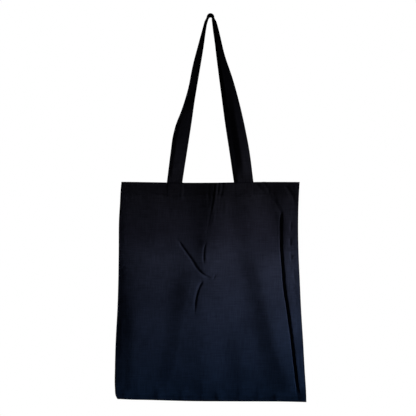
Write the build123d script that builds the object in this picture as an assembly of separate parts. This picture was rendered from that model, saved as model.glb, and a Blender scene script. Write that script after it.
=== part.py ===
from build123d import *
import math
import os

# A canvas tote bag hung from a hook by its two handles, in millimetres.
# X runs to the bag's right as seen from the front, Y to its back and Z up.
# The origin is where the hook's round bears on the underside of the inner handle.

# Cloth
CLOTH = 0.6                # one layer of canvas
STRAP_LAYERS = 4           # layers folded and sewn into a strap
HEM_LAYERS = 2             # layers turned in at the top edge
SEAM_LAYERS = 2            # layers of allowance inside each seam

# Bag
BAG_HEIGHT = 420.0         # top edge to bottom seam
TOP_WIDTH = 342.0          # across the top edge as it hangs
BOTTOM_WIDTH = 368.0       # across the bottom seam
MOUTH_DEPTH = 22.0         # front to back at the middle of the mouth
BELLY_DEPTH = 31.0         # front to back where the bag is fullest
BELLY_LEVEL = 270.0        # how far below the top edge that is
HEM_HEIGHT = 25.0
SEAM_ALLOWANCE = 10.0
SIDE_FULLNESS = 6          # power of the curve across: higher is fuller at the sides
FOOT_FULLNESS = 6          # power of the curve down to the bottom seam

# The long pleat beside the right edge
PLEAT_DRAW = 0.6           # share of the bag's fullness that it draws in
PLEAT_WIDTH = 11.0         # half width of its hollow
PLEAT_TOP = 55.0           # where it starts, below the top edge
PLEAT_TOP_INSET = 33.0     # from the right edge, where it starts
PLEAT_BOTTOM_INSET = 13.0  # from the right edge, at the bottom
PLEAT_RUN_IN = 60.0        # length over which it deepens

# Handles
HANDLE_DROP = 320.0        # hook to the bag's top edge
STRAP_WIDTH = 31.0
STRAP_SPACING = 136.0      # between the middles of the two ends of a handle
STRAP_END_LENGTH = 32.0    # sewn inside the bag, below the top edge
HOOK_RADIUS = 3.4          # round of the hook under the inner handle
TWIST_START = 0.10         # share of a strand above which it turns edge on
STRAND_STATIONS = 10
ROUND_STATIONS = 9

# Thread
THREAD_WIDTH = 0.7
THREAD_HEIGHT = 0.3
OVERLOCK_WIDTH = 1.2
OVERLOCK_HEIGHT = 1.5
BOX_STITCH_WIDTH = 24.0
BOX_STITCH_HEIGHT = 25.0
STRAP_STITCH_INSET = 3.0   # row to the strap's edge
HEM_STITCH_INSET = 2.0     # row to the hem's lower edge

# Clearances
LAYER_GAP = 0.1            # between layers sewn together
THREAD_GAP = 0.1           # under a thread
STITCH_LIFT = 5.0          # from a strap's foot to its first stitch
SEAM_GAP = 0.3             # between a seam's allowance and a panel
STRAP_GAP = 0.3            # between a strap and the hem it folds over
STACK_GAP = 1.2            # between the two handles on the hook
HEM_END_GAP = 5.0          # from the end of a hem to the bag's edge

# Sizes that follow
STRAP = STRAP_LAYERS * CLOTH
HEM = HEM_LAYERS * CLOTH
SEAM = SEAM_LAYERS * CLOTH
TOP = -HANDLE_DROP
BOTTOM = TOP - BAG_HEIGHT
EDGE_DEPTH = SEAM / 2 + SEAM_GAP + CLOTH
STRAP_INSET = CLOTH + LAYER_GAP + HEM + STRAP_GAP
STRAP_Y = MOUTH_DEPTH / 2 - STRAP_INSET - STRAP / 2
STRAP_FOOT = TOP + STRAP_GAP

FRONT = -1
BACK = 1
LEFT = -1
RIGHT = 1


def drop(z):
    """Share of the bag's height that a level lies below the top edge."""
    return (TOP - z) / BAG_HEIGHT


def edge_x(hand, z):
    """Place of the left or right edge at a level: the right edge draws in more."""
    flare = (BOTTOM_WIDTH - TOP_WIDTH) / 2
    power = 1 if hand == LEFT else 2
    return hand * (TOP_WIDTH / 2 + flare * max(0.0, drop(z)) ** power)


def pleat_x(z):
    """Line of the long pleat at a level."""
    inset = PLEAT_TOP_INSET + (PLEAT_BOTTOM_INSET - PLEAT_TOP_INSET) * drop(z)
    return edge_x(RIGHT, z) - inset


def pleat_draw(x, z):
    """Share of the front's fullness that the pleat draws in."""
    reach = min(1.0, max(0.0, (TOP - z - PLEAT_TOP) / PLEAT_RUN_IN))
    hollow = math.exp(-(((x - pleat_x(z)) / PLEAT_WIDTH) ** 2))
    return PLEAT_DRAW * reach * reach * (3 - 2 * reach) * hollow


def wall(side, x, z):
    """Distance from the bag's middle plane to a panel's outer face."""
    middle = (edge_x(LEFT, z) + edge_x(RIGHT, z)) / 2
    half = (edge_x(RIGHT, z) - edge_x(LEFT, z)) / 2
    spare = 1 - min(1.0, abs(x - middle) / half) ** SIDE_FULLNESS
    down = max(0.0, drop(z))
    swell = math.sin(math.pi / 2 * down * BAG_HEIGHT / BELLY_LEVEL) ** 2
    depth = MOUTH_DEPTH / 2 + (BELLY_DEPTH - MOUTH_DEPTH) / 2 * swell
    full = (depth - EDGE_DEPTH) * spare * (1 - down**FOOT_FULLNESS)
    if side == FRONT:
        full = full * (1 - pleat_draw(x, z))
    return EDGE_DEPTH + full


def spread(low, high, count):
    """Evenly spaced values from low to high."""
    return [low + (high - low) * i / (count - 1) for i in range(count)]


def across(z, inset):
    """Places across the bag at a level, inset from both edges."""
    return spread(edge_x(LEFT, z) + inset, edge_x(RIGHT, z) - inset, 61)


def sheet(side, inset, thickness, levels, end_gap):
    """A layer that follows a panel, its outer face inset from the panel's."""
    grid = []
    for z in levels:
        grid.append([(x, side * (wall(side, x, z) - inset), z) for x in across(z, end_gap)])
    face = Face.make_surface_from_array_of_points(grid)
    return Solid.thicken(face, thickness, normal_override=(0, -side, 0))


def panel(side):
    """One face of the bag."""
    return sheet(side, 0, CLOTH, spread(BOTTOM, TOP, 25), 0)


def hem(side):
    """The band turned in behind the top edge of a panel."""
    levels = spread(TOP - HEM_HEIGHT, TOP, 5)
    return sheet(side, CLOTH + LAYER_GAP, HEM, levels, HEM_END_GAP)


def hem_stitching(side):
    """The thread row that holds a hem, on the panel's outer face: three runs that stop at the boxes."""
    row = TOP - HEM_HEIGHT + HEM_STITCH_INSET
    levels = spread(row - THREAD_WIDTH / 2, row + THREAD_WIDTH / 2, 3)
    thread = sheet(side, -THREAD_GAP - THREAD_HEIGHT, THREAD_HEIGHT, levels, HEM_END_GAP)
    boxes = []
    for hand in (LEFT, RIGHT):
        place = Pos(hand * STRAP_SPACING / 2, side * MOUTH_DEPTH / 2, row)
        boxes.append(place * Box(BOX_STITCH_WIDTH + 2 * THREAD_GAP, MOUTH_DEPTH / 2, HEM_HEIGHT))
    return Compound(children=(thread - boxes).solids())


def strap_end(side, hand):
    """The end of a strap that is sewn inside the hem."""
    middle = hand * STRAP_SPACING / 2
    place = Pos(middle, side * STRAP_Y, TOP - STRAP_END_LENGTH / 2)
    return place * Box(STRAP_WIDTH, STRAP, STRAP_END_LENGTH)


def box_stitch(side, hand):
    """The crossed box of thread through a strap end, on the panel's outer face."""
    width = BOX_STITCH_WIDTH
    height = BOX_STITCH_HEIGHT
    ring = Rectangle(width, height) - Rectangle(width - 2 * THREAD_WIDTH, height - 2 * THREAD_WIDTH)
    slope = math.degrees(math.atan2(height, width))
    length = math.hypot(width, height) - 2 * THREAD_WIDTH
    cross = Rot(0, 0, slope) * Rectangle(length, THREAD_WIDTH)
    cross = cross + Rot(0, 0, -slope) * Rectangle(length, THREAD_WIDTH)
    level = TOP - STRAP_END_LENGTH / 2
    middle = hand * STRAP_SPACING / 2
    reach = []
    for x in (middle - width / 2, middle, middle + width / 2):
        for z in (level - height / 2, level + height / 2):
            reach.append(wall(side, x, z))
    seat = Plane((middle, side * (max(reach) + THREAD_GAP), level), x_dir=(1, 0, 0), z_dir=(0, side, 0))
    return seat * extrude(ring + cross, THREAD_HEIGHT)


def seam_strip(near, far, low, high, thickness):
    """A flat strip that follows the bag's edge between two lines, low and high."""
    levels = spread(low, high, 9)
    outer = [(near(z), z) for z in levels]
    inner = [(far(z), z) for z in reversed(levels)]
    outline = Spline(*outer) + Line(outer[-1], inner[0]) + Spline(*inner) + Line(inner[-1], outer[0])
    return extrude(Plane.XZ * make_face(outline), thickness / 2, both=True)


def side_seam(hand):
    """The allowance inside a side edge, below the hem."""
    return seam_strip(
        lambda z: edge_x(hand, z) - hand * SEAM_GAP, lambda z: edge_x(hand, z) - hand * SEAM_ALLOWANCE,
        BOTTOM, TOP - HEM_HEIGHT - LAYER_GAP, SEAM,
    )


def side_overlock(hand):
    """The thread along the raw edge of a side allowance, above the bottom seam's."""
    start = SEAM_ALLOWANCE + LAYER_GAP
    return seam_strip(
        lambda z: edge_x(hand, z) - hand * start, lambda z: edge_x(hand, z) - hand * (start + OVERLOCK_WIDTH),
        BOTTOM + start + OVERLOCK_WIDTH + LAYER_GAP, TOP - HEM_HEIGHT - LAYER_GAP, OVERLOCK_HEIGHT,
    )


def bottom_strip(low, high, thickness):
    """A flat strip along the bottom seam, between the side allowances."""
    start = SEAM_ALLOWANCE + LAYER_GAP
    left = [(edge_x(LEFT, z) + start, z) for z in (low, high)]
    right = [(edge_x(RIGHT, z) - start, z) for z in (high, low)]
    outline = Polyline(*left, *right, close=True)
    return extrude(Plane.XZ * make_face(outline), thickness / 2, both=True)


def bottom_seam():
    return bottom_strip(BOTTOM, BOTTOM + SEAM_ALLOWANCE, SEAM)


def bottom_overlock():
    low = BOTTOM + SEAM_ALLOWANCE + LAYER_GAP
    return bottom_strip(low, low + OVERLOCK_WIDTH, OVERLOCK_HEIGHT)


def round_radius(side):
    """Radius of a handle's middle where it goes over the hook: the front one lies outside."""
    inner = HOOK_RADIUS if side == BACK else HOOK_RADIUS + STRAP + STACK_GAP
    return inner + STRAP / 2


def strand_lean(side):
    """Angle of a strand's taut inner edge to the vertical."""
    return math.atan2((STRAP_SPACING - STRAP_WIDTH) / 2 - round_radius(side), HANDLE_DROP - HOOK_RADIUS)


def strand_middle(side, hand, share):
    """Middle of a strand at a share of the way up, with its turn in radians."""
    radius = round_radius(side)
    lean = strand_lean(side)
    turn = min(1.0, max(0.0, (share - TWIST_START) / (1 - TWIST_START)))
    turn = math.pi / 2 * turn * turn * (3 - 2 * turn)
    top_x = (radius - STRAP / 2) * math.cos(lean)
    top_z = radius * math.sin(lean) - HOOK_RADIUS
    foot_x = (STRAP_SPACING - STRAP_WIDTH) / 2
    inner_x = foot_x + (top_x - foot_x) * share
    x = inner_x + STRAP_WIDTH / 2 * math.cos(turn) + STRAP / 2 * math.cos(lean) * math.sin(turn)
    z = STRAP_FOOT + (top_z - STRAP_FOOT) * share
    return Vector(hand * x, side * STRAP_Y * (1 - share), z), turn


def strand_plane(side, hand, share):
    """Section plane of a strand: x along the strap's width, y out of its outer face."""
    middle, turn = strand_middle(side, hand, share)
    step = 0.01
    ahead = strand_middle(side, hand, min(1.0, share + step))[0]
    behind = strand_middle(side, hand, max(0.0, share - step))[0]
    along = (ahead - behind).normalized() if share > 0 else Vector(0, 0, 1)
    along = along if hand == LEFT else along * -1
    width = Vector(hand * math.cos(turn), math.sin(turn), 0)
    width = (width - along * width.dot(along)).normalized()
    return Plane(middle, x_dir=width, z_dir=along)


def round_plane(side, angle):
    """Section plane over the hook, at an angle from the vertical."""
    radius = round_radius(side)
    out = Vector(math.sin(angle), 0, math.cos(angle))
    along = Vector(math.cos(angle), 0, -math.sin(angle))
    return Plane(Vector(0, 0, -HOOK_RADIUS) + out * radius, x_dir=(0, 1, 0), z_dir=along)


def handle_planes(side, lift):
    """Section planes from above the left hem, over the hook and down to the right hem."""
    lean = strand_lean(side)
    shares = spread(0, 1, STRAND_STATIONS)[:-1]
    shares[0] = lift / HANDLE_DROP
    planes = [strand_plane(side, LEFT, share) for share in shares]
    for angle in spread(lean - math.pi / 2, math.pi / 2 - lean, ROUND_STATIONS):
        planes.append(round_plane(side, angle))
    for share in reversed(shares):
        planes.append(strand_plane(side, RIGHT, share))
    return planes


def handle(side):
    """A strap from hem to hem, flat at the hems and edge on over the hook."""
    return loft([plane * Rectangle(STRAP_WIDTH, STRAP) for plane in handle_planes(side, 0)], ruled=True)


def handle_stitching(side):
    """The two thread rows along a strap's outer face."""
    rows = []
    height = STRAP / 2 + THREAD_GAP + THREAD_HEIGHT / 2
    for edge in (-1, 1):
        place = Pos(edge * (STRAP_WIDTH / 2 - STRAP_STITCH_INSET), height)
        thread = place * Rectangle(THREAD_WIDTH, THREAD_HEIGHT)
        rows.append(loft([plane * thread for plane in handle_planes(side, STITCH_LIFT)], ruled=True))
    return Compound(children=rows)


os.makedirs("parts", exist_ok=True)
nodes = {"bottom_seam": bottom_seam(), "bottom_overlock": bottom_overlock()}
for hand, hand_name in ((LEFT, "left"), (RIGHT, "right")):
    nodes[hand_name + "_side_seam"] = side_seam(hand)
    nodes[hand_name + "_overlock"] = side_overlock(hand)
for side, side_name in ((FRONT, "front"), (BACK, "back")):
    nodes[side_name + "_panel"] = panel(side)
    nodes[side_name + "_hem"] = hem(side)
    nodes[side_name + "_hem_stitching"] = hem_stitching(side)
    nodes[side_name + "_handle"] = handle(side)
    nodes[side_name + "_handle_stitching"] = handle_stitching(side)
    for hand, hand_name in ((LEFT, "left"), (RIGHT, "right")):
        nodes[side_name + "_" + hand_name + "_strap_end"] = strap_end(side, hand)
        nodes[side_name + "_" + hand_name + "_box_stitch"] = box_stitch(side, hand)
for name, shape in nodes.items():
    export_step(shape, "parts/" + name + ".step")
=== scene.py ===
import math

import bpy
import numpy as np
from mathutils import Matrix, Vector, noise


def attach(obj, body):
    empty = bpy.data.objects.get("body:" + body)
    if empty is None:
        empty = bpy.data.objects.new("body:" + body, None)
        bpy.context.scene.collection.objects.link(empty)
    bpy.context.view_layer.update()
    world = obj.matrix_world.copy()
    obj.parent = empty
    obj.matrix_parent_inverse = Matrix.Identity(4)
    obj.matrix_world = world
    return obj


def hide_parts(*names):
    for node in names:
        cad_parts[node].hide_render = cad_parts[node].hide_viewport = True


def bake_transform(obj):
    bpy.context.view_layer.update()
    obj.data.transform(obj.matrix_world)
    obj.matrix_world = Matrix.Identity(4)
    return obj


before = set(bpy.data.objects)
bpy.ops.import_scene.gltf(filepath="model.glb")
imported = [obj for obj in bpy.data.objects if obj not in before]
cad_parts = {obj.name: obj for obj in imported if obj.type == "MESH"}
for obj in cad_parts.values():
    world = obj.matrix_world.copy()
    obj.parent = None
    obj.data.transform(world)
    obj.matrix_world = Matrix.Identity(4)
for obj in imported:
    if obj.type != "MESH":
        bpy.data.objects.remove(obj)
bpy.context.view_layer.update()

# A black canvas tote hung from a hook by its two handles. Metres, in the frame of the solids:
# X to the right as seen from the front, Y to the back, Z up, and the origin under the handles on the hook.
# Folds and outlines are drawn in units of the photograph's pixels, across and down from its top left corner.
MM = 0.001
PIXEL = 1.927 * MM            # one pixel at the bag
HOOK_PIXEL = (210.5, 16.3)    # where the origin lies in the photograph
IMAGE = 416                   # pixels across the photograph

CLOTH = 0.6 * MM
LAYER_GAP = 0.1 * MM
HEM = 2 * CLOTH
STRAP = 1.7 * MM              # four layers, pressed flat
STRAP_WIDTH = 31 * MM
HEM_HEIGHT = 25 * MM
HEM_ROW = 23 * MM             # stitch row below the top edge
SEAM_ALLOWANCE = 10 * MM
EDGE_DEPTH = 1.5 * MM         # a panel's outer face to the middle plane, at the seams
MOUTH_DEPTH = 11 * MM         # the same at the middle of the mouth, behind
FRONT_MOUTH_DEPTH = 5 * MM    # and in front, where the pulls at the hem stand out from it
BELLY_DEPTH = 15.5 * MM       # the same where the bag is fullest
BELLY_LEVEL = 0.643           # share of the height where that is
STRAP_END = 32 * MM           # strap sewn in below the top edge
HOOK_RADIUS = 3.4 * MM
STITCH = 2.6 * MM             # length of one stitch
STITCH_WIDTH = 0.75 * MM
STITCH_HEIGHT = 0.6 * MM
STITCH_PITCH = 3.3 * MM
CRISP = math.radians(50)      # edges sharper than this stay crisp

FRONT = -1
BACK = 1
TOP_LEVEL = 182.4             # pixel row of the top edge and of the bottom seam, about
BOTTOM_LEVEL = 400.6
COLUMN_ROW = 280              # pixel row at which a panel's columns are given
CUT = 255.6                   # pixel column where the front's two pieces meet
LEFT_EDGE = [(180, 121.7), (190, 120.7), (205, 119.9), (220, 119.0), (250, 118.7), (280, 118.3),
             (310, 117.4), (340, 115.8), (370, 114.9), (390, 114.9), (397, 115.6), (402, 118.0)]
RIGHT_EDGE = [(180, 299.8), (190, 299.2), (205, 298.5), (220, 298.2), (250, 298.5), (280, 299.8),
              (310, 301.2), (340, 303.1), (370, 304.8), (390, 306.1), (402, 306.5)]
TOP_EDGE = [(115, 181.7), (124, 181.8), (150, 182.2), (190, 182.8), (211, 182.8), (260, 182.0), (306, 182.0)]
BOTTOM_EDGE = [(115, 398.7), (124, 399.3), (150, 400.0), (190, 401.1), (235, 401.4), (290, 401.7),
               (306, 402.1)]


def x_at(px):
    return (px - HOOK_PIXEL[0]) * PIXEL


def z_at(py):
    return (HOOK_PIXEL[1] - py) * PIXEL


def smooth(share):
    """Soft step from 0 to 1."""
    share = np.clip(share, 0, 1)
    return share * share * (3 - 2 * share)


def curve(points, place):
    """A smooth line through points, read at a place or many."""
    at = np.array([point[0] for point in points], float)
    value = np.array([point[1] for point in points], float)
    slope = np.gradient(value, at)
    place = np.clip(place, at[0], at[-1])
    i = np.clip(np.searchsorted(at, place) - 1, 0, len(at) - 2)
    run = at[i + 1] - at[i]
    t = (place - at[i]) / run
    start = (2 * t**3 - 3 * t**2 + 1) * value[i] + (t**3 - 2 * t**2 + t) * run * slope[i]
    return start + (3 * t**2 - 2 * t**3) * value[i + 1] + (t**3 - t**2) * run * slope[i + 1]


LINE_STEPS = 6                # straight steps between two points of a fold's line


def beside(px, py, line):
    """Distance to the right of a line drawn downwards, and the share of the way along it."""
    knots = np.arange(len(line))
    fine = np.linspace(0, len(line) - 1, LINE_STEPS * (len(line) - 1) + 1)
    lx = curve(list(zip(knots, [point[0] for point in line])), fine)
    ly = curve(list(zip(knots, [point[1] for point in line])), fine)
    nearest = np.full(px.shape, np.inf)
    off = np.zeros(px.shape)
    share = np.zeros(px.shape)
    for k in range(len(fine) - 1):
        dx, dy = lx[k + 1] - lx[k], ly[k + 1] - ly[k]
        t = np.clip(((px - lx[k]) * dx + (py - ly[k]) * dy) / (dx * dx + dy * dy), 0, 1)
        ex, ey = px - lx[k] - t * dx, py - ly[k] - t * dy
        distance = np.hypot(ex, ey)
        closer = distance < nearest
        nearest = np.where(closer, distance, nearest)
        off = np.where(closer, np.sign(ex * dy - ey * dx) * distance, off)
        share = np.where(closer, (k + t) / (len(fine) - 1), share)
    return off, share


def fold(px, py, line, height, left, right, start=0.2, end=0.2, shift=0.0, power=2):
    """A ridge along a line, or a hollow where the height is negative, with flanks of two widths.

    It dies out over the start and end shares of the line, shift moves it to the line's right, and a
    higher power makes its flanks steeper.
    """
    off, share = beside(px, py, line)
    off = off - shift
    ends = smooth(share / start) if start else 1.0
    ends = ends * (smooth((1 - share) / end) if end else 1.0)
    return height * ends * np.exp(-(np.abs(off / np.where(off < 0, left, right)) ** power))


# Front folds: line, height in millimetres, left and right flank in pixels, and the shares of the line over
# which its ends die out.
FRONT_FOLDS = [
    # the broad pull from the middle of the hem down to the centre creases
    ([(222, 176), (217.5, 200), (213, 228), (207, 262)], 3.6, 13, 16, 0, 0.4),
    ([(222, 176), (215, 220), (208, 258), (202, 300), (197, 345)], 6.2, 28, 32, 0, 0.4),
    ([(209, 230), (206, 254), (205.5, 288)], 2.4, 8, 22, 0.3, 0.35),
    # tension lines fanning out to the hem
    ([(208.8, 176), (208.6, 190), (208, 206)], -0.5, 1.2, 1.2, 0, 0.4),
    ([(216.0, 176), (213.4, 197), (211.2, 209), (207.6, 228), (206, 240)], -0.32, 0.9, 0.9, 0, 0.3),
    ([(217.4, 176), (215.2, 195), (213.2, 208), (210.2, 224)], 0.7, 1.0, 1.2, 0, 0.4),
    ([(215.4, 208), (214.0, 216), (212.2, 226)], 0.5, 0.9, 1.0, 0.3, 0.4),
    ([(218.6, 176), (218.2, 188.5), (217.2, 199)], -0.7, 1.0, 1.0, 0, 0.4),
    ([(223.0, 176), (222.0, 189), (219.2, 203)], -1.2, 1.0, 1.2, 0, 0.4),
    ([(225.9, 200), (225.2, 209), (224.8, 220)], 0.6, 1.2, 1.6, 0.3, 0.4),
    # soft bands down the body
    ([(196, 262), (188, 300), (180, 340), (173, 388)], 3.9, 12, 40, 0.3, 0.12),
    ([(250, 240), (257, 265), (268, 309), (279, 348), (288, 372), (296, 395)], 6.7, 12, 26, 0.25, 0.1),
    ([(206, 285), (206, 320), (207, 355), (207, 396)], 2.4, 16, 16, 0.3, 0.1),
    ([(134, 290), (132, 345), (131, 394)], 1.0, 5, 8, 0.3, 0.1),
    ([(160, 200), (156, 240), (150, 285)], 1.0, 13, 18, 0.2, 0.4),
    ([(245, 188), (248, 225), (252, 255)], 2.4, 10, 12, 0.1, 0.3),
    ([(235, 325), (240, 362), (243, 398)], 1.6, 8, 14, 0.3, 0.1),
    # the hollow that runs into the long pleat
    ([(266, 186), (270, 203), (273, 219), (277, 234), (281, 252)], -2.6, 13, 7, 0.15, 0.3),
    # puckers at the right end of the hem
    ([(255, 183), (260, 188.5), (266, 194)], -1.5, 1.5, 1.5, 0.2, 0.35),
    ([(263, 182), (267.5, 188.5), (270, 194)], -1.1, 1.2, 1.2, 0.1, 0.4),
    ([(284, 184), (290, 192), (294.5, 201), (296, 210)], -2.0, 1.7, 1.8, 0.2, 0.3),
    ([(272.5, 197), (277, 205), (281.8, 214)], -1.0, 2.4, 1.5, 0.35, 0.1),
    # small tucks along the right side seam
    ([(291.6, 219), (290.8, 226), (290.6, 233)], -2.1, 1.2, 1.4, 0.4, 0.4),
    ([(290.2, 236), (290.2, 242), (290.6, 249)], -2.1, 1.2, 1.4, 0.4, 0.4),
    ([(290.2, 251), (290.8, 257), (291.8, 263)], -1.9, 1.2, 1.4, 0.4, 0.4),
    ([(292.8, 268), (293.6, 275), (295.2, 282)], -1.5, 1.2, 1.4, 0.4, 0.4),
    ([(296.6, 338), (297.2, 345), (299, 352)], 0.8, 1.1, 1.2, 0.4, 0.4),
    ([(298.6, 357), (299, 365), (301, 372)], -0.8, 1.1, 1.2, 0.4, 0.4),
    ([(300, 374), (300.4, 381), (302, 388)], 0.8, 1.1, 1.2, 0.4, 0.4),
]
# Sharp creases: line, depth in millimetres, left and right flank, shares over which the ends die out.
FRONT_CREASES = [
    ([(177.2, 238.2), (185.2, 249.4), (192.3, 259), (197, 266.5), (202, 272.4), (207, 275.7), (212.6, 277.2)],
     1.8, 1.7, 0.65, 0.12, 0.16),
    ([(207.2, 241), (204.9, 247.5), (204.2, 256), (204.4, 264.5)], 1.4, 1.3, 0.6, 0.4, 0.25),
    ([(203.4, 279.5), (198.9, 288.6), (196.5, 298.5), (195.4, 307), (195.0, 318)], 1.7, 1.9, 0.65, 0.12, 0.5),
    ([(216.4, 272.4), (214.6, 276), (212.4, 279.4)], 0.8, 1.2, 0.8, 0.4, 0.4),
]
# The long pleat beside the right edge: its line, and as fold() takes them, the tuck itself, the cloth drawn
# in on its left with the swell on its right, and the painted shade in its depth.
PLEAT = [(281.7, 211), (280.9, 228), (281.3, 244), (282.3, 261), (284.4, 287), (287.6, 309), (292.1, 343),
         (296.2, 378), (298.8, 396), (300.6, 403)]
PLEAT_TUCK = (-9.0, 1.5, 1.2, 0.07, 0, 0.0, 4)
PLEAT_FLANKS = [(-1.0, 12, 2.4, 0.07, 0.05, -2.0), (0.8, 3.0, 9, 0.07, 0.2, 5.0)]
PLEAT_PAINTED_SHADE = (0.7, 1.4, 1.2, 0.07, 0, 0.0, 4)
# Back folds, in the same form and in the same columns, as seen through the front.
BACK_FOLDS = [
    ([(214, 176), (210, 215), (206, 262)], 4.5, 16, 15, 0, 0.4),
    ([(203, 176), (204, 212), (206, 250)], 1.2, 2.6, 2.4, 0, 0.3),
    ([(222, 176), (215, 212), (209, 246)], 1.4, 2.6, 2.4, 0, 0.3),
    ([(178, 205), (170, 260), (160, 330), (156, 390)], 2.8, 13, 17, 0.2, 0.1),
    ([(232, 240), (240, 300), (246, 350), (248, 396)], 3.0, 16, 11, 0.3, 0.1),
    ([(268, 210), (272, 260), (280, 330), (284, 392)], 2.6, 10, 13, 0.2, 0.1),
    ([(140, 220), (137, 290), (136, 380)], 2.0, 10, 12, 0.25, 0.1),
    ([(198, 300), (196, 350), (199, 398)], 2.0, 12, 15, 0.3, 0.1),
]
BACK_CREASES = [
    ([(231, 236), (224, 250), (214, 262)], 1.8, 1.5, 1.5, 0.4, 0.4),
    ([(199, 270), (206, 281), (208, 300)], 1.6, 1.5, 1.5, 0.3, 0.5),
]
PUCKERS = (125, 139, 158, 181, 203, 219, 239, 258, 277)   # columns of the bottom seam's short folds
PUCKER_FOOT = 404             # pixel row of their lower ends, just under the seam
PUCKER_LENGTH, LENGTH_RANGE = 20, 9   # pixels, and how much more or less
PUCKER_LEAN = 3               # pixels to either side
PUCKER_HEIGHT, HEIGHT_RANGE = 1.3, 0.8   # millimetres, and how much more or less
PUCKER_FLANKS = (2.6, 4.6)
PUCKER_ENDS = (0.8, 0)
CREASE_LIP = 0.08             # share of a crease's depth by which the cloth stands up on its right
CREASE_LIP_FLANKS = (1.2, 6)
CREASE_LIP_SHIFT = 2.2        # pixels

# How a panel fills out. The higher a power, the closer to the seams it stays full or keeps its folds.
SIDE_POWER = 6
FLAT_SIDE_POWER = 2.4         # right half of the front, which lies flatter towards its edge
FLAT_FROM, FLAT_OVER = 0.06, 0.25   # shares of the height where that starts, and over which it comes in
FOOT_POWER = 6
CORNER_POWER = 16             # foot of the front's right quarter, which stays full farther down
CORNER_FROM, CORNER_OVER = 0.5, 0.3   # the same, as shares of the half width
FOLD_SIDE_POWER = 14
FOLD_FOOT_POWER = 40
TUCK_FOOT_POWER = 150
RIM_TURN = 0.9 * MM           # how far the cloth turns in at the very edge
RIM_TURN_WIDTH = 2.5 * MM
RIM_DEPTH = 0.58 * MM         # least distance from the middle plane at the very edge
INNER_DEPTH = 0.75 * MM       # and how much more it is farther in
INNER_FROM, INNER_OVER = 1.2 * MM, 1.6 * MM

# How the sewing shapes the cloth, in millimetres, and where.
HEM_GROOVE = 0.5              # the hem's thread row draws the cloth in
HEM_GROOVE_WIDTH = 1.4 * MM
HEM_PULL = 0.55               # small slanting pulls beside that row
HEM_PULL_REACH = 8 * MM
HEM_PULL_SLANT = 0.35         # pixels sideways for each one down
HEM_PULL_SIZE = 3.4           # pixels
HEM_PULL_SEED = 3.1
SEAM_PULL = 1.1               # small pulls along the side seams
SEAM_PULL_PLACE = 4.5         # pixels in from the edge
SEAM_PULL_REACH = 3.2
SEAM_PULL_SIZE = 3.0
SEAM_PULL_SEED = 5.9
STRAP_END_SWELL = 0.7         # the cloth stands out over the sewn strap ends
STRAP_END_COLUMNS = ((168.0, 183.2), (236.0, 252.4))
STRAP_END_SIDE = 1.6          # pixels over which that falls off sideways
STRAP_END_FOOT = 3 * MM       # and downwards
RIPPLES = [(0.55, 26.0, 7.7), (0.22, 9.0, 1.3)]   # uneven cloth: height in millimetres, size in pixels, seed


def edges(py):
    """Columns of the bag's left and right edges at a row."""
    return curve(LEFT_EDGE, py), curve(RIGHT_EDGE, py)


def ripple(px, py, size, seed):
    """Small uneven waves of a given size in pixels, from -1 to 1."""
    flat = [noise.noise((a / size, b / size, seed)) for a, b in zip(np.ravel(px), np.ravel(py))]
    return np.reshape(flat, np.shape(px))


def from_rim(px, py):
    """Distance in from the nearest of the side seams and the bottom seam."""
    left, right = edges(py)
    return np.minimum(np.minimum(px - left, right - px), curve(BOTTOM_EDGE, px) - py) * PIXEL


def over_strap_ends(px, row):
    """1 where a strap's sewn end lies behind the panel, at a distance below the top edge, and 0 elsewhere."""
    over = 0 * px
    for near, far in STRAP_END_COLUMNS:
        over = over + (smooth((px - near) / STRAP_END_SIDE + 0.5)
                       * smooth((far - px) / STRAP_END_SIDE + 0.5))
    return over * smooth((STRAP_END - row) / STRAP_END_FOOT + 0.5)


def body(side, across, down):
    """Distance from the middle plane to a panel's outer face without its folds.

    Across runs from -1 at the left edge to 1 at the right one, and down from 0 at the top to 1 at the foot.
    """
    flatter = smooth((down - FLAT_FROM) / FLAT_OVER) * (across > 0) * (side == FRONT)
    corner = smooth((across - CORNER_FROM) / CORNER_OVER) * (side == FRONT)
    side_power = SIDE_POWER + (FLAT_SIDE_POWER - SIDE_POWER) * flatter
    foot_power = FOOT_POWER + (CORNER_POWER - FOOT_POWER) * corner
    fullness = (1 - np.abs(across) ** side_power) * (1 - down**foot_power)
    mouth = FRONT_MOUTH_DEPTH if side == FRONT else MOUTH_DEPTH
    swell = np.sin(math.pi / 2 * down / BELLY_LEVEL) ** 2
    return EDGE_DEPTH + (mouth + (BELLY_DEPTH - mouth) * swell - EDGE_DEPTH) * fullness


def drape(side, px, py):
    """Height of a panel's folds, creases and ripples, in millimetres."""
    relief = np.zeros(px.shape)
    for line, height, near, far, start, end in FRONT_FOLDS if side == FRONT else BACK_FOLDS:
        relief += fold(px, py, line, height, near, far, start, end)
    for line, deep, near, far, start, end in FRONT_CREASES if side == FRONT else BACK_CREASES:
        relief += fold(px, py, line, -deep, near, far, start, end)
        relief += fold(px, py, line, CREASE_LIP * deep, *CREASE_LIP_FLANKS, start, end, CREASE_LIP_SHIFT)
    if side == FRONT:
        for flank in PLEAT_FLANKS:
            relief += fold(px, py, PLEAT, *flank)
    for height, size, seed in RIPPLES:
        relief += height * ripple(px, py, size, seed + side)
    return relief


def tucks(side, px, py):
    """Height of the long pleat and of the bottom seam's puckers, in millimetres."""
    relief = np.zeros(px.shape)
    if side == FRONT:
        relief += fold(px, py, PLEAT, *PLEAT_TUCK)
    for k, column in enumerate(PUCKERS):
        # uneven steps, so that no two are alike
        tall = PUCKER_LENGTH + LENGTH_RANGE * math.sin(2.3 * k + side)
        lean = PUCKER_LEAN * math.sin(1.7 * k)
        height = PUCKER_HEIGHT + HEIGHT_RANGE * math.sin(4.1 * k)
        line = [(column - lean, BOTTOM_LEVEL - tall), (column - lean / 2, BOTTOM_LEVEL - tall / 2),
                (column, PUCKER_FOOT)]
        relief += fold(px, py, line, height, *PUCKER_FLANKS, *PUCKER_ENDS)
    return relief


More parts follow.
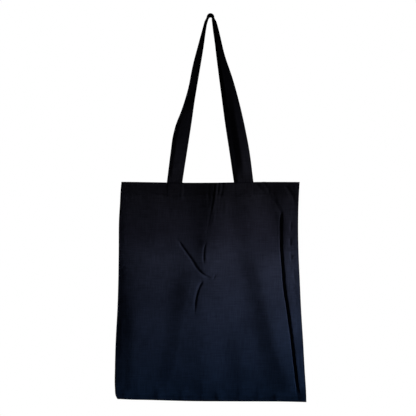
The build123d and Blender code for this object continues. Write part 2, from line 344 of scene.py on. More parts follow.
def sewing(side, px, py, row, from_side):
    """How far thread draws the cloth in and strap ends push it out, in millimetres.

    Row is the distance below the top edge, and from_side the pixels in from the side.
    """
    relief = -HEM_GROOVE * np.exp(-(((row - HEM_ROW) / HEM_GROOVE_WIDTH) ** 2))
    near_row = np.exp(-(((row - HEM_ROW) / HEM_PULL_REACH) ** 2))
    pulls = ripple(px - HEM_PULL_SLANT * py, 0 * py, HEM_PULL_SIZE, HEM_PULL_SEED + side)
    near_seam = np.exp(-(((from_side - SEAM_PULL_PLACE) / SEAM_PULL_REACH) ** 2))
    seam_pulls = ripple(px, py, SEAM_PULL_SIZE, SEAM_PULL_SEED + side)
    relief = relief + HEM_PULL * near_row * pulls + SEAM_PULL * near_seam * seam_pulls
    return relief + STRAP_END_SWELL * over_strap_ends(px, row)


def skin(side, px, py):
    """Distance from the middle plane to a panel's outer face."""
    px, py = np.broadcast_arrays(np.asarray(px, float), np.asarray(py, float))
    left, right = edges(py)
    top, bottom = curve(TOP_EDGE, px), curve(BOTTOM_EDGE, px)
    across = np.clip(2 * (px - left) / (right - left) - 1, -1, 1)
    down = np.clip((py - top) / (bottom - top), 0, 1)
    row = (py - top) * PIXEL
    # folds die out at the seams and hold to the very top; pleat and puckers run on into the bottom seam
    held = (1 - np.abs(across) ** FOLD_SIDE_POWER) * (1 - down**FOLD_FOOT_POWER)
    relief = drape(side, px, py) + sewing(side, px, py, row, np.minimum(px - left, right - px))
    relief = relief * held + tucks(side, px, py) * (1 - down**TUCK_FOOT_POWER)
    depth = body(side, across, down) + relief * MM
    # the cloth turns in to the seam at the very edge
    rim = from_rim(px, py)
    least = RIM_DEPTH + INNER_DEPTH * smooth((rim - INNER_FROM) / INNER_OVER)
    return np.maximum(depth - RIM_TURN * (1 - smooth(rim / RIM_TURN_WIDTH)), least)


def panel_place(side, px, py, inset=0.0):
    """A point on a panel, or on a layer inside it."""
    return np.stack([x_at(px), side * (skin(side, px, py) - inset), z_at(py)], axis=-1)


def spaced(start, *runs):
    """Places from start on, in runs of (end, step)."""
    places = [start]
    for end, step in runs:
        count = max(1, round(abs(end - places[-1]) / step))
        places.extend(np.linspace(places[-1], end, count + 1)[1:])
    return np.array(places)


def grid_over(columns, rows):
    """Pixel columns and rows of a panel's grid, fitted to the bag's slanting edges, rows going up."""
    left, right = edges(COLUMN_ROW)
    share = (columns[None, :] - left) / (right - left)
    py = np.repeat(rows[:, None], len(columns), axis=1)
    left, right = edges(py)
    px = left + share * (right - left)
    top, bottom = curve(TOP_EDGE, px), curve(BOTTOM_EDGE, px)
    py = top + (py - TOP_LEVEL) / (BOTTOM_LEVEL - TOP_LEVEL) * (bottom - top)
    return px, py


def select_none():
    bpy.ops.object.select_all(action="DESELECT")


def select_only(obj):
    select_none()
    obj.select_set(True)
    bpy.context.view_layer.objects.active = obj


def finish_cloth(obj, thickness, offset, rounding=0):
    """Give a sheet its thickness, and smooth shading with crisp cut edges."""
    select_only(obj)
    solid = obj.modifiers.new("thickness", "SOLIDIFY")
    solid.thickness = thickness
    solid.offset = offset
    bpy.ops.object.modifier_apply(modifier=solid.name)
    if rounding:
        soft = obj.modifiers.new("soft edges", "SUBSURF")
        soft.levels = rounding
        bpy.ops.object.modifier_apply(modifier=soft.name)
    bpy.ops.object.shade_smooth_by_angle(angle=CRISP)


def cloth(name, places, flat, painted_edge_shade, backed, thickness, offset=-1.0, rounding=0):
    """A sheet of cloth: a grid laid on places, with its flat weave kept on the mesh.

    The mesh also keeps where the canvas gets painted shade at its turned edges and in the pleat, where it is
    backed by other layers (painted shade too), and its height.
    """
    rows, columns = places.shape[0] - 1, places.shape[1] - 1
    select_none()
    bpy.ops.mesh.primitive_grid_add(x_subdivisions=columns, y_subdivisions=rows, size=1)
    obj = bpy.context.object
    obj.name = name
    mesh = obj.data
    mesh.name = name
    flat_place = np.empty(3 * len(mesh.vertices))
    mesh.vertices.foreach_get("co", flat_place)
    flat_place = flat_place.reshape(-1, 3)
    i = np.rint((flat_place[:, 0] + 0.5) * columns).astype(int)
    j = np.rint((flat_place[:, 1] + 0.5) * rows).astype(int)
    mesh.vertices.foreach_set("co", np.ascontiguousarray(places[j, i], dtype=np.float32).ravel())
    corner = np.empty(len(mesh.loops), dtype=np.int32)
    mesh.loops.foreach_get("vertex_index", corner)
    weave = mesh.uv_layers[0]
    weave.name = "weave"
    weave.data.foreach_set("uv", np.ascontiguousarray(flat[j, i][corner], dtype=np.float32).ravel())
    for kind, values in (("painted_edge_shade", painted_edge_shade), ("backed", backed), ("level", places[..., 2])):
        kept = mesh.attributes.new(kind, "FLOAT", "POINT")
        kept.data.foreach_set("value", np.ascontiguousarray(values[j, i], dtype=np.float32))
    mesh.materials.append(CANVAS)
    finish_cloth(obj, thickness, offset, rounding)
    return obj


PAINTED_EDGE_SHADE_WIDTH = 2.8 * MM       # painted shade reaches this far in from the cloth's turned edges
BACKED_FADE = 1.5 * MM        # over which the painted shade for the layers behind ends
STRAP_END_LIGHT = 0.9         # share of that painted shade taken away where a strap end lifts the cloth


def panel_piece(name, side, columns, rows, inset, thickness):
    """A piece of a panel or hem."""
    px, py = grid_over(columns, rows)
    if side == BACK:
        px, py = px[:, ::-1], py[:, ::-1]
    places = panel_place(side, px, py, inset)
    flat = np.stack([x_at(px), z_at(py)], axis=-1)
    rim = from_rim(px, py)
    row = (py - curve(TOP_EDGE, px)) * PIXEL
    # painted shade near the turned edges, and in the depth of the pleat on the front
    painted_edge_shade = 1 - smooth(np.minimum(rim, row) / PAINTED_EDGE_SHADE_WIDTH)
    if side == FRONT:
        painted_edge_shade = np.maximum(painted_edge_shade, fold(px, py, PLEAT, *PLEAT_PAINTED_SHADE))
    # painted shade where the seam allowances and the hem lie behind, mostly taken away over the strap ends
    backed = 1 - smooth(np.minimum(rim - SEAM_ALLOWANCE, row - HEM_HEIGHT) / BACKED_FADE + 0.5)
    backed = backed * (1 - STRAP_END_LIGHT * over_strap_ends(px, row))
    return cloth(name, places, flat, painted_edge_shade, backed, thickness)


# Colours and materials. Inputs 6 and 7 of a colour Mix node are its two colours, and output 2 its result.
def colour(text):
    """Linear colour of an sRGB hex value."""
    parts = [int(text[k:k + 2], 16) / 255 for k in (1, 3, 5)]
    return [p / 12.92 if p <= 0.04045 else ((p + 0.055) / 1.055) ** 2.4 for p in parts] + [1.0]


def node(tree, kind, inputs=None, **settings):
    """Add a node with its settings; an input is a value or another node's socket."""
    made = tree.nodes.new(kind)
    for key, value in settings.items():
        setattr(made, key, value)
    for key, value in (inputs or {}).items():
        if isinstance(value, bpy.types.NodeSocket):
            tree.links.new(value, made.inputs[key])
        else:
            made.inputs[key].default_value = value
    return made


def blank(name, inputs):
    """A new material with its shader's plain inputs set, to be linked up."""
    made = bpy.data.materials.new(name)
    made.use_nodes = True
    shader = made.node_tree.nodes["Principled BSDF"]
    for key, value in inputs.items():
        shader.inputs[key].default_value = value
    return made, made.node_tree, shader


WEAVE_PITCH = 1.1 * MM        # one over and under of the canvas yarns, drawn at about twice its size to show
SLUB_LENGTH = 28 * MM         # a thick place in a yarn
SLUB_WIDTH = 1.7 * MM
WAVE_BAND = 0.314             # one band of the wave texture at scale 1
PLY = 0.9 * MM                # size of the twist that shows in a thread
DYE_AND_PAINTED_LIGHT_FOOT = -0.75              # height at which the way down from the hook is 1
# Colour of the canvas, by the share of the way down: its own blue-black, with painted light and shade by
# height.
DYE_AND_PAINTED_LIGHT = [(0.06, "#08080b"), (0.22, "#0d0d11"), (0.38, "#15151b"), (0.44, "#15151a"), (0.56, "#1b1c26"),
       (0.62, "#222532"), (0.97, "#111d30")]


def canvas():
    """Black cotton canvas, plain woven and piece dyed.

    Matt and slightly blue, with a soft bloom of loose fibre at grazing angles, thick slubs in both yarns,
    an uneven dye, and painted light and shade: by height, where layers lie behind, and at turned edges and in
    the pleat.
    """
    made, tree, shader = blank("black cotton canvas", {
        "Roughness": 0.88, "Specular IOR Level": 0.0, "Sheen Weight": 0.03, "Sheen Roughness": 0.45,
        "Sheen Tint": colour("#8d90a6")})
    weave = node(tree, "ShaderNodeUVMap", uv_map="weave").outputs["UV"]

    # plain weave: two sets of rounded yarns that take turns on top
    yarn = {"Vector": weave, "Scale": WAVE_BAND / WEAVE_PITCH, "Distortion": 0.6, "Detail": 1.0,
            "Detail Scale": 2.0}
    warp, weft = [node(tree, "ShaderNodeTexWave", yarn, bands_direction=axis).outputs["Fac"] for axis in "XY"]
    yarns = node(tree, "ShaderNodeMath", {0: warp, 1: weft}, operation="MULTIPLY").outputs[0]

    # slubs: long thin thick places, along and across
    slub = []
    for wide, tall in ((SLUB_WIDTH, SLUB_LENGTH), (SLUB_LENGTH, SLUB_WIDTH)):
        place = node(tree, "ShaderNodeMapping", {"Vector": weave, "Scale": (1 / wide, 1 / tall, 1)})
        thick = node(tree, "ShaderNodeTexNoise", {"Vector": place.outputs[0], "Scale": 1.0, "Detail": 2.0})
        slub.append(thick.outputs["Fac"])
    slubs = node(tree, "ShaderNodeMath", {0: slub[0], 1: slub[1]}, operation="ADD").outputs[0]

    # uneven dye at random, with painted light and shade by height: blackest at the handles and the hem,
    # lightest at the belly, and bluer low down
    dye = node(tree, "ShaderNodeTexNoise", {"Vector": weave, "Scale": 14.0, "Detail": 4.0, "Roughness": 0.6})
    level = node(tree, "ShaderNodeAttribute", attribute_name="level").outputs["Fac"]
    low = node(tree, "ShaderNodeMapRange", {"Value": level, "From Min": 0.0, "From Max": DYE_AND_PAINTED_LIGHT_FOOT}).outputs[0]
    dye_and_painted_light_ramp = node(tree, "ShaderNodeValToRGB", {"Fac": low})
    stops = dye_and_painted_light_ramp.color_ramp.elements
    for stop, (place, text) in zip(stops, (DYE_AND_PAINTED_LIGHT[0], DYE_AND_PAINTED_LIGHT[-1])):
        stop.position, stop.color = place, colour(text)
    for place, text in DYE_AND_PAINTED_LIGHT[1:-1]:
        stops.new(place).color = colour(text)
    tint = dye_and_painted_light_ramp.outputs["Color"]
    shade = node(tree, "ShaderNodeMapRange", {"Value": slubs, "From Min": 0.75, "From Max": 1.3,
                 "To Min": 0.8, "To Max": 1.26}).outputs[0]
    patch = node(tree, "ShaderNodeMapRange", {"Value": dye.outputs["Fac"], "From Min": 0.3, "From Max": 0.7,
                 "To Min": 0.84, "To Max": 1.16}).outputs[0]
    # painted shade: the colour is darker where other layers lie behind, standing in for the light that one
    # layer lets through
    backed = node(tree, "ShaderNodeAttribute", attribute_name="backed").outputs["Fac"]
    painted_layer_shade = node(tree, "ShaderNodeMapRange", {"Value": backed, "To Min": 1.0, "To Max": 0.86}).outputs[0]
    for share in (patch, painted_layer_shade):
        shade = node(tree, "ShaderNodeMath", {0: shade, 1: share}, operation="MULTIPLY").outputs[0]
    shade = node(tree, "ShaderNodeCombineXYZ", {0: shade, 1: shade, 2: shade}).outputs[0]
    # base colour: dye with painted light and shade by height, and painted shade where layers lie behind
    dyed_and_painted_light = node(tree, "ShaderNodeMix", {"Factor": 1.0, 6: tint, 7: shade}, data_type="RGBA",
                blend_type="MULTIPLY").outputs[2]

    # painted shade: near black where the cloth turns in to a seam or an edge, and in the depth of the pleat
    painted_edge_shade = node(tree, "ShaderNodeAttribute", attribute_name="painted_edge_shade").outputs["Fac"]
    rim = node(tree, "ShaderNodeMath", {0: painted_edge_shade, 1: 0.8}, operation="MULTIPLY").outputs[0]
    face = node(tree, "ShaderNodeMix", {"Factor": rim, 6: dyed_and_painted_light, 7: colour("#04050b")},
                data_type="RGBA").outputs[2]
    tree.links.new(face, shader.inputs["Base Color"])

    relief = node(tree, "ShaderNodeMath", {0: slubs, 1: 0.5}, operation="MULTIPLY").outputs[0]
    relief = node(tree, "ShaderNodeMath", {0: relief, 1: yarns}, operation="ADD").outputs[0]
    bump = node(tree, "ShaderNodeBump", {"Height": relief, "Strength": 0.55, "Distance": 0.35 * MM})
    tree.links.new(bump.outputs[0], shader.inputs["Normal"])
    return made


def thread():
    """Black polyester sewing thread, two plies twisted: a little glossier and blacker than the canvas."""
    made, tree, shader = blank("black sewing thread", {"Roughness": 0.6, "Specular IOR Level": 0.0})
    place = node(tree, "ShaderNodeTexCoord").outputs["Object"]
    ply = node(tree, "ShaderNodeTexNoise", {"Vector": place, "Scale": 1 / PLY, "Detail": 2.0}).outputs["Fac"]
    tint = node(tree, "ShaderNodeMix", {"Factor": ply, 6: colour("#0c0c11"), 7: colour("#191920")},
                data_type="RGBA")
    tree.links.new(tint.outputs[2], shader.inputs["Base Color"])
    bump = node(tree, "ShaderNodeBump", {"Height": ply, "Strength": 0.4, "Distance": 0.15 * MM})
    tree.links.new(bump.outputs[0], shader.inputs["Normal"])
    return made


CANVAS = canvas()
THREAD = thread()

# One stitch, modelled once: a thread that rises from the cloth and dives back into it.
select_none()
bpy.ops.mesh.primitive_uv_sphere_add(segments=6, ring_count=4, radius=0.5)
stitch = bpy.context.object
bpy.ops.object.mode_set(mode="EDIT")
bpy.ops.mesh.select_all(action="SELECT")
bpy.ops.transform.rotate(value=math.pi / 2, orient_axis="Y", center_override=(0, 0, 0))
bpy.ops.transform.resize(value=(STITCH, STITCH_WIDTH, STITCH_HEIGHT))
bpy.ops.object.mode_set(mode="OBJECT")
STITCH_POINTS = np.array([vertex.co[:] for vertex in stitch.data.vertices])
STITCH_FACES = [list(face.vertices) for face in stitch.data.polygons]
bpy.data.objects.remove(stitch)


def unit(vectors):
    return vectors / np.maximum(np.linalg.norm(vectors, axis=-1, keepdims=True), 1e-12)


def stitches(name, rows):
    """Copies of the stitch, in rows of (middles, directions along, directions out of the cloth)."""
    points = []
    faces = []
    for middles, along, out in rows:
        along = unit(along)
        across = unit(np.cross(out, along))
        out = np.cross(along, across)
        for k in range(len(middles)):
            first = len(points) * len(STITCH_POINTS)
            faces.extend([first + corner for corner in face] for face in STITCH_FACES)
            points.append(middles[k] + STITCH_POINTS @ np.stack([along[k], across[k], out[k]]))
    mesh = bpy.data.meshes.new(name)
    mesh.from_pydata(np.concatenate(points).tolist(), [], faces)
    mesh.materials.append(THREAD)
    obj = bpy.data.objects.new(name, mesh)
    bpy.context.collection.objects.link(obj)
    select_only(obj)
    bpy.ops.object.shade_smooth()
    return obj


def along_path(points, outs, pitch=STITCH_PITCH):
    """Stitch frames spaced evenly along a path."""
    steps = np.linalg.norm(np.diff(points, axis=0), axis=1)
    length = np.concatenate([[0], np.cumsum(steps)])
    count = max(1, int(length[-1] / pitch))
    at = (np.arange(count) + 0.5) * length[-1] / count
    reach = 0.4 * pitch           # a stitch lies along the path over most of its own length

    def read(values, place):
        return np.stack([np.interp(place, length, values[:, k]) for k in range(3)], axis=1)

    return read(points, at), read(points, at + reach) - read(points, at - reach), unit(read(outs, at))


STITCH_LIFT = 0.2 * MM        # middle of a stitch above the cloth
PROBE = 0.4                   # pixels to the side where a face's slope is read


def skin_row(side, px, py, inset=0.0, inside=False):
    """A stitch path over a panel through pixels, on its outer face or on the inner face of a layer."""
    points = panel_place(side, px, py, inset)
    across = panel_place(side, px + PROBE, py, inset) - points
    down = panel_place(side, px, py + PROBE, inset) - points
    out = unit(np.cross(down, across))
    out = out * np.where(out[:, 1:2] * side < 0, -1, 1)
    if inside:
        out = -out
    return along_path(points + out * STITCH_LIFT, out)


# The panels and hems: the front is two pieces, left and right of a cut.
# Grid lines are runs of (end, step) in pixels, closer where the cloth is creased or turns in.
PANEL_ROWS = spaced(BOTTOM_LEVEL, (399.4, 0.3), (380, 0.9), (325, 1.6), (236, 0.6), (200, 1.2),
                    (TOP_LEVEL, 0.6))
HEM_ROWS = spaced(TOP_LEVEL + HEM_HEIGHT / PIXEL, (TOP_LEVEL, 0.9))
LEFT_COLUMNS = spaced(118.3, (120, 0.3), (176, 1.6), (228, 0.5), (CUT, 1.2))
RIGHT_COLUMNS = spaced(CUT, (270, 1.1), (298, 0.5), (299.8, 0.3))
HEM_LEFT_COLUMNS = spaced(121.2, (176, 1.3), (222, 0.9), (CUT, 1.2))
HEM_RIGHT_COLUMNS = spaced(CUT, (296.8, 1.1))
BACK_COLUMNS = spaced(118.3, (120, 0.3), (298, 1.3), (299.8, 0.3))
BACK_ROWS = spaced(BOTTOM_LEVEL, (399.4, 0.3), (380, 0.9), (210, 1.4), (TOP_LEVEL, 0.8))
BACK_HEM_COLUMNS = spaced(121.2, (296.8, 1.3))
HEM_INSET = CLOTH + LAYER_GAP
LEFT_SHARE, RIGHT_SHARE = 0.74, 0.26   # of the front's flat width, by piece


def follow_mouth(obj):
    """Bake a piece of the front's placement into its mesh."""
    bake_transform(obj)


for hand, hand_name, columns, hem_columns, share in (
    (-1, "left", LEFT_COLUMNS, HEM_LEFT_COLUMNS, LEFT_SHARE),
    (1, "right", RIGHT_COLUMNS, HEM_RIGHT_COLUMNS, RIGHT_SHARE),
):
    panel = panel_piece("front_canvas_" + hand_name, FRONT, columns, PANEL_ROWS, 0, CLOTH)
    follow_mouth(panel)
    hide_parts("front_panel")
    hem = panel_piece("front_hem_band_" + hand_name, FRONT, hem_columns, HEM_ROWS, HEM_INSET, HEM)
    follow_mouth(hem)
    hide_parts("front_hem")

panel = panel_piece("back_canvas", BACK, BACK_COLUMNS, BACK_ROWS, 0, CLOTH)
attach(panel, "bag")
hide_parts("back_panel")
hem = panel_piece("back_hem_band", BACK, BACK_HEM_COLUMNS, HEM_ROWS, HEM_INSET, HEM)
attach(hem, "bag")
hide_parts("back_hem")

# The handles. Edges of each strand as (row, column), from the hem up to where it goes over the hook. It is
# creased lengthwise: fold is the crease's place as a share of the width in from the outer edge, rise its
# least height in millimetres, and start the pixels over which it comes up from the hem.
STRANDS = {
    (FRONT, -1): {
        "outer": [(182, 166.9), (150, 170.9), (138, 172.5), (126, 175.5), (110, 181.8), (94, 186.8),
                  (62, 193.5), (46, 197.8), (30, 202.2), (24, 203.9), (20, 205.0), (17, 206.5)],
        "inner": [(182, 182.5), (138, 189.1), (94, 195.5), (46, 202.6), (30, 204.6), (24, 205.8),
                  (20, 206.8), (17, 207.4)],
        "fold": 0.28, "rise": 2.7, "start": 12,
    },
    (FRONT, 1): {
        "outer": [(182, 253.4), (150, 249.2), (126, 244.6), (102, 239.1), (78, 232.6), (54, 224.6),
                  (30, 218.8), (24, 217.2), (20, 215.9), (17, 214.4)],
        "inner": [(182, 236.9), (150, 232.9), (126, 229.5), (94, 225.0), (62, 219.6), (38, 216.6),
                  (30, 215.7), (24, 214.5), (20, 213.7), (17, 213.5)],
        "fold": 0.55, "rise": 6.2, "start": 20,
    },
    (BACK, -1): {
        "outer": [(182, 167.6), (150, 171.8), (138, 173.6), (126, 177.0), (110, 182.9), (94, 188.0),
                  (62, 195.6), (46, 200.6), (30, 204.1), (24, 205.4), (20, 206.5), (17, 208.0)],
        "inner": [(182, 182.2), (138, 189.2), (94, 195.8), (46, 203.6), (30, 205.8), (24, 206.9),
                  (22, 207.6), (20, 208.2), (17, 208.4)],
        "fold": 0.5, "rise": 1.0, "start": 12,
    },
    (BACK, 1): {
        "outer": [(182, 249.5), (150, 244.8), (126, 240.4), (102, 233.6), (78, 226.9), (54, 220.6),
                  (30, 216.2), (24, 215.0), (20, 214.2), (17, 213.0)],
        "inner": [(182, 233.9), (150, 229.2), (126, 225.5), (94, 221.1), (62, 217.1), (38, 214.2),
                  (34, 213.6), (30, 213.1), (24, 212.4), (20, 212.0), (17, 212.2)],
        "fold": 0.3, "rise": 10.0, "start": 12,
    },
}
STACK_GAP = 0.3 * MM          # between the two handles on the hook
STRAP_GAP = 0.15 * MM         # between a sewn strap end and the hem
STRAP_INSET = CLOTH + LAYER_GAP + HEM + STRAP_GAP + STRAP / 2
FOOT_ROW = 182.0              # pixel row where a strand leaves the hem
OVER_ROW = 17.0               # and where it goes over the hook
STRAP_CELLS = 18              # cells across a strap
HEM_READ_IN = 0.1             # share of a strand's width in from its edge where the hem's depth is read,
HEM_READ_ROW = FOOT_ROW + 1.5   # and the highest row for it
SOFT_NEARING = 0.35           # share of the way in to the hook's plane made softly, the rest evenly
CREASED_TO, OPEN_OVER = 0.3, 0.35   # share of the height creased in full, and over which it turns edgewise
RISE_TO, RISE_OVER = 0.75, 0.4   # share where the crease's least height has ended, and over which it does
CREASE_POWER = 1.15           # roundness of the crease, where 1 is a knife crease
HOOK_LEAN = math.radians(13)  # how far from upright the strands leave the hook
HOOK_STATIONS = 17


def strand(side, hand):
    """Outer and inner edge points and the lengthwise fold of a strand, from its sewn end up."""
    shape = STRANDS[side, hand]
    rows = spaced(FOOT_ROW + STRAP_END / PIXEL, (FOOT_ROW, 2.4), (OVER_ROW, 2.2))
    held = np.minimum(rows, FOOT_ROW)
    outer, inner = curve(shape["outer"][::-1], held), curve(shape["inner"][::-1], held)
    share = np.clip((FOOT_ROW - rows) / (FOOT_ROW - OVER_ROW), 0, 1)
    # both edges are sewn against the hem, and come in to the hook's middle plane
    nearing = side * (1 - smooth(share) * SOFT_NEARING - share * (1 - SOFT_NEARING))
    read_rows = np.maximum(rows, HEM_READ_ROW)
    behind = [(skin(side, near + HEM_READ_IN * (far - near), read_rows) - STRAP_INSET) * nearing
              for near, far in ((outer, inner), (inner, outer))]
    # low down the strap is creased lengthwise, and higher up it turns edgewise to go over the hook
    seen = np.abs(outer - inner) * PIXEL
    lost = np.sqrt(np.maximum(STRAP_WIDTH**2 - seen**2, 0))
    creased = 1 - smooth((share - CREASED_TO) / OPEN_OVER)
    turn = lost * (1 - creased)
    rise = shape["rise"] * MM * smooth((RISE_TO - share) / RISE_OVER)
    rise = np.maximum(rise, math.sqrt(shape["fold"] * (1 - shape["fold"])) * lost * creased)
    rise = rise * smooth((FOOT_ROW - rows) / shape["start"])
    z = z_at(rows)
    return (np.stack([x_at(outer), behind[0] + turn / 2, z], axis=1),
            np.stack([x_at(inner), behind[1] - turn / 2, z], axis=1), rise)


def handle_grid(side):
    """Points across a strap at stations all along it, with the direction out of its outer face."""
    left_outer, left_inner, left_rise = strand(side, -1)
    right_outer, right_inner, right_rise = strand(side, 1)
    radius = HOOK_RADIUS + STRAP / 2 + (STRAP + STACK_GAP if side == FRONT else 0)
    last = math.pi / 2 - HOOK_LEAN
    angles = np.linspace(-last, last, HOOK_STATIONS)
    over = np.stack([radius * np.sin(angles), 0 * angles, radius * np.cos(angles) - HOOK_RADIUS], axis=1)
    half = np.array([0, STRAP_WIDTH / 2, 0])
    outer = np.concatenate([left_outer[:-1], over + half, right_outer[::-1][1:]])
    inner = np.concatenate([left_inner[:-1], over - half, right_inner[::-1][1:]])
    rise = np.concatenate([left_rise[:-1], 0 * angles, right_rise[::-1][1:]])
    crest = np.full(len(rise), STRANDS[side, -1]["fold"])
    crest[len(left_rise):] = STRANDS[side, 1]["fold"]
    middle = (outer + inner) / 2
    forward = unit(np.gradient(middle, axis=0))
    out = unit(np.cross(forward, outer - inner))
    # across runs from the inner edge to the outer one, and the crest is a share in from the outer edge
    across = np.linspace(0, 1, STRAP_CELLS + 1)[:, None]
    from_outer = 1 - across
    flank = np.where(from_outer < crest, from_outer / crest, (1 - from_outer) / (1 - crest))
    lift = rise * (1 - (1 - flank) ** CREASE_POWER)
    points = inner + across[..., None] * (outer - inner) + lift[..., None] * out
    return points, out, middle


STRAP_ROWS = (0.1, 0.9)       # shares of a strap's width where its thread rows run
STRAP_ROW_LIFT = 0.02 * MM    # their middle above the strap's face
STRAP_ROW_START = 3           # pixels above the hem
for side, side_name, carrier in ((FRONT, "front", "front"), (BACK, "back", "bag")):
    points, out, middle = handle_grid(side)
    length = np.concatenate([[0], np.cumsum(np.linalg.norm(np.diff(middle, axis=0), axis=1))])
    flat = np.stack(np.broadcast_arrays(
        np.linspace(0, STRAP_WIDTH, STRAP_CELLS + 1)[:, None], length[None, :]), axis=-1)
    # painted shade along both edges of the strap, and none for layers behind
    painted_edge_shade = np.zeros(points.shape[:2])
    painted_edge_shade[[0, -1]] = 1
    strap = cloth(side_name + "_strap", points, flat, painted_edge_shade, 0 * painted_edge_shade, STRAP, 0.0, 1)
    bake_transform(strap)
    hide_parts(side_name + "_handle", side_name + "_left_strap_end", side_name + "_right_strap_end")

    rows = []
    free = middle[:, 2] > z_at(FOOT_ROW - STRAP_ROW_START)
    for share in STRAP_ROWS:
        cell = share * STRAP_CELLS
        low = int(cell)
        line = points[low] + (cell - low) * (points[low + 1] - points[low])
        for face in (1, -1):
            lifted = line + face * out * (STRAP / 2 + STRAP_ROW_LIFT)
            rows.append(along_path(lifted[free], (face * out)[free]))
    sewn = stitches(side_name + "_strap_stitches", rows)
    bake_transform(sewn)
    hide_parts(side_name + "_handle_stitching")

# Stitch rows along the hems, and the crossed boxes that hold the strap ends.
BOX_WIDTH = 24 * MM
BOX_HEIGHT = 25 * MM
BOX_MIDDLE = 16 * MM          # below the top edge
BOX_STEPS = 20                # points on each line of a box
HEM_SEWN = (123, 297)         # pixel columns between which the hems are sewn
HEM_STEP = 1.0


def hem_rows(side, px):
    """Stitch paths along a hem, on the outer face of the panel and the inner face of the hem."""
    py = curve(TOP_EDGE, px) + HEM_ROW / PIXEL
    return [skin_row(side, px, py), skin_row(side, px, py, HEM_INSET + HEM, True)]


def box_rows(side, px, py):
    """Frame and cross of a box stitch, centred on a pixel."""
    wide, tall = BOX_WIDTH / PIXEL / 2, BOX_HEIGHT / PIXEL / 2
    corners = [(-wide, -tall), (wide, -tall), (wide, tall), (-wide, tall)]
    rows = []
    for a, b in ((0, 1), (1, 2), (2, 3), (3, 0), (0, 2), (1, 3)):
        t = np.linspace(0, 1, BOX_STEPS)
        line_x = px + corners[a][0] + t * (corners[b][0] - corners[a][0])
        line_y = py + corners[a][1] + t * (corners[b][1] - corners[a][1])
        rows.append(skin_row(side, line_x, line_y))
        rows.append(skin_row(side, line_x, line_y, STRAP_INSET + STRAP / 2, True))
    return rows


for hand, hand_name, columns in (
    (-1, "left", spaced(HEM_SEWN[0], (CUT, HEM_STEP))), (1, "right", spaced(CUT, (HEM_SEWN[1], HEM_STEP))),
):
    row = stitches("front_hem_stitches_" + hand_name, hem_rows(FRONT, columns))
    follow_mouth(row)
    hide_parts("front_hem_stitching")
row = stitches("back_hem_stitches", hem_rows(BACK, spaced(HEM_SEWN[0], (HEM_SEWN[1], HEM_STEP))))
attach(row, "bag")
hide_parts("back_hem_stitching")
for side, side_name, carrier in ((FRONT, "front", "front"), (BACK, "back", "bag")):
    for hand, hand_name in ((-1, "left"), (1, "right")):
        shape = STRANDS[side, hand]
        middle = (shape["outer"][0][1] + shape["inner"][0][1]) / 2
        rows = box_rows(side, middle, FOOT_ROW + BOX_MIDDLE / PIXEL)
        box = stitches(side_name + "_" + hand_name + "_box_stitches", rows)
        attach(box, carrier)
        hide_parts(side_name + "_" + hand_name + "_box_stitch")

# Seam allowances inside, with the overlock thread over their raw edges.
SEAM_START = 2.6 * MM         # in from the bag's edge
SEAM_STEP = 2.5               # pixels between the rows of a strip
SEAM_POINTS = 6               # points across a strip
SEAM_WAVE = 0.25 * MM         # height of the waves along a strip's right or lower edge
SEAM_WAVE_ANGLE = 40          # radians of wave along a strip
OVERLOCK_PITCH = 2.4 * MM
OVERLOCK_BACK = 1.6 * MM      # middle of the wraps back from the raw edge
OVERLOCK_OUT = 0.62 * MM      # and out from the middle plane
OVERLOCK_SLANT = 0.5
CHAIN_OUT = 0.25 * MM         # chain of thread beyond the raw edge
OVERLOCK_FIRST = 6            # first row of a side strip with an overlock, above the bottom seam's allowance


def seam_piece(name, near, far):
    """A strip of allowance, two layers thick, between two edges given as rows of points."""
    share = np.linspace(0, 1, SEAM_POINTS)[None, :, None]
    places = near[:, None, :] + share * (far - near)[:, None, :]
    wave = np.sin(np.linspace(0, SEAM_WAVE_ANGLE, len(near)))[:, None] * share[..., 0] ** 2 * SEAM_WAVE
    places[..., 1] += wave - HEM / 2
    flat = places[..., [0, 2]]
    shape = places.shape[:2]
    # the allowance gets no painted edge shade, and the painted shade of a backed layer all over
    piece = cloth(name, places, flat, np.zeros(shape), np.ones(shape), HEM)
    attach(piece, "bag")
    return piece


def overlock(name, edge, inward):
    """Slanted wraps of thread over a raw edge, on both faces, and the chain along the edge itself."""
    rows = []
    for face in (-1, 1):
        out = np.tile([0.0, face, 0.0], (len(edge), 1))
        path = edge - inward * OVERLOCK_BACK + out * OVERLOCK_OUT
        middles, along, outs = along_path(path, out, OVERLOCK_PITCH)
        rows.append((middles, OVERLOCK_SLANT * unit(along) + inward, outs))
    chain = np.tile(inward, (len(edge), 1)).astype(float)
    rows.append(along_path(edge + inward * CHAIN_OUT, chain, OVERLOCK_PITCH))
    piece = stitches(name, rows)
    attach(piece, "bag")
    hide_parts(name.replace("_stitches", ""))


seam_rows = spaced(BOTTOM_LEVEL - 1.5, (TOP_LEVEL + HEM_HEIGHT / PIXEL + 0.3, SEAM_STEP))
left, right = edges(seam_rows)
still = 0 * seam_rows
for hand, hand_name, edge in ((-1, "left", left), (1, "right", right)):
    near = np.stack([x_at(edge) - hand * SEAM_START, still, z_at(seam_rows)], axis=1)
    far = np.stack([x_at(edge) - hand * SEAM_ALLOWANCE, still, z_at(seam_rows)], axis=1)
    if hand == -1:
        strip = seam_piece(hand_name + "_seam_allowance", near, far)
    else:
        strip = seam_piece(hand_name + "_seam_allowance", far, near)
    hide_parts(hand_name + "_side_seam")
    overlock(hand_name + "_overlock_stitches", far[OVERLOCK_FIRST:], np.array([-hand, 0.0, 0.0]))
foot_columns = spaced(121, (300, SEAM_STEP))
still = 0 * foot_columns
foot = z_at(curve(BOTTOM_EDGE, foot_columns))
near = np.stack([x_at(foot_columns), still, foot + SEAM_START], axis=1)
far = np.stack([x_at(foot_columns), still, foot + SEAM_ALLOWANCE], axis=1)
strip = seam_piece("bottom_seam_allowance", far, near)
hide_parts("bottom_seam")
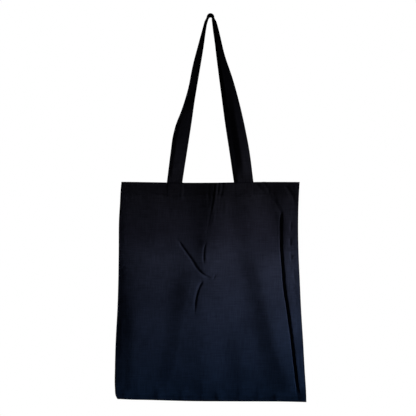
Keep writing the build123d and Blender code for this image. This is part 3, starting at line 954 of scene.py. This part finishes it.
overlock("bottom_overlock_stitches", far, np.array([0.0, 0.0, 1.0]))

# Studio: a pale floor below the hanging bag, soft light and the photograph's camera.
FLOOR = -1.42                 # height of the floor
FLOOR_SIZE = (6, 5)
FLOOR_BACK = 0.2              # middle of the floor behind the bag
FLOOR_GLOW = 0.85             # how white the floor is to the camera, besides the light it gets
select_none()
bpy.ops.mesh.primitive_plane_add(size=1, location=(0, 0, 0))
floor = bpy.context.object
floor.name = "floor"
bpy.ops.object.mode_set(mode="EDIT")
bpy.ops.transform.resize(value=(*FLOOR_SIZE, 1))
bpy.ops.transform.translate(value=(0, FLOOR_BACK, FLOOR))
bpy.ops.object.mode_set(mode="OBJECT")
# pale studio floor: matt and white to the camera, so that the bag stands alone
pale, pale_tree, pale_shader = blank("pale studio floor", {
    "Base Color": colour("#e6e6e4"), "Roughness": 0.9, "Emission Color": colour("#ffffff")})
pale_rays = node(pale_tree, "ShaderNodeLightPath").outputs["Is Camera Ray"]
pale_glow = node(pale_tree, "ShaderNodeMath", {0: pale_rays, 1: FLOOR_GLOW}, operation="MULTIPLY").outputs[0]
pale_tree.links.new(pale_glow, pale_shader.inputs["Emission Strength"])
floor.data.materials.append(pale)

# The room is white to the camera and gives the cloth only a little light.
ROOM_LIGHT = 0.05
world = bpy.data.worlds.new("studio")
bpy.context.scene.world = world
world.use_nodes = True
sky = world.node_tree
rays = node(sky, "ShaderNodeLightPath").outputs
plain = rays["Is Camera Ray"]
for kind in ("Is Glossy Ray", "Is Transmission Ray"):
    plain = node(sky, "ShaderNodeMath", {0: plain, 1: rays[kind]}, operation="MAXIMUM").outputs[0]
room = node(sky, "ShaderNodeBackground", {"Color": colour("#ffffff"), "Strength": ROOM_LIGHT})
white = node(sky, "ShaderNodeBackground", {"Color": colour("#ffffff"), "Strength": 1.0})
mixed = node(sky, "ShaderNodeMixShader", {0: plain, 1: room.outputs[0], 2: white.outputs[0]})
sky.links.new(mixed.outputs[0], sky.nodes["World Output"].inputs["Surface"])


def softbox(name, place, aim, size, watts, spread):
    """A square soft light, aimed at a point, with its spread in degrees."""
    light = bpy.data.lights.new(name, "AREA")
    light.spread = math.radians(spread)
    light.shape = "RECTANGLE"
    light.size = size
    light.size_y = size
    light.energy = watts
    obj = bpy.data.objects.new(name, light)
    bpy.context.collection.objects.link(obj)
    obj.location = place
    obj.rotation_euler = (Vector(aim) - Vector(place)).to_track_quat("-Z", "Y").to_euler()


softbox("key", (2.45, -0.95, -0.60), (-0.22, 0, -0.51), size=0.45, watts=1.85, spread=18)
softbox("back key", (-2.45, 0.95, -0.60), (0.22, 0, -0.51), size=0.45, watts=1.85, spread=18)
softbox("fill", (-0.4, -2.4, -0.9), (0, 0, -0.6), size=0.8, watts=0.15, spread=40)

CAMERA_DISTANCE = 2.2
SENSOR = 36                   # millimetres
camera = bpy.data.cameras.new("camera")
camera.sensor_width = SENSOR
camera.lens = SENSOR * CAMERA_DISTANCE / (IMAGE * PIXEL)
eye = bpy.data.objects.new("camera", camera)
bpy.context.collection.objects.link(eye)
eye.location = (x_at(IMAGE / 2), -CAMERA_DISTANCE, z_at(IMAGE / 2))
eye.rotation_euler = (math.pi / 2, 0, 0)
bpy.context.scene.camera = eye
bpy.context.scene.view_settings.view_transform = "Standard"
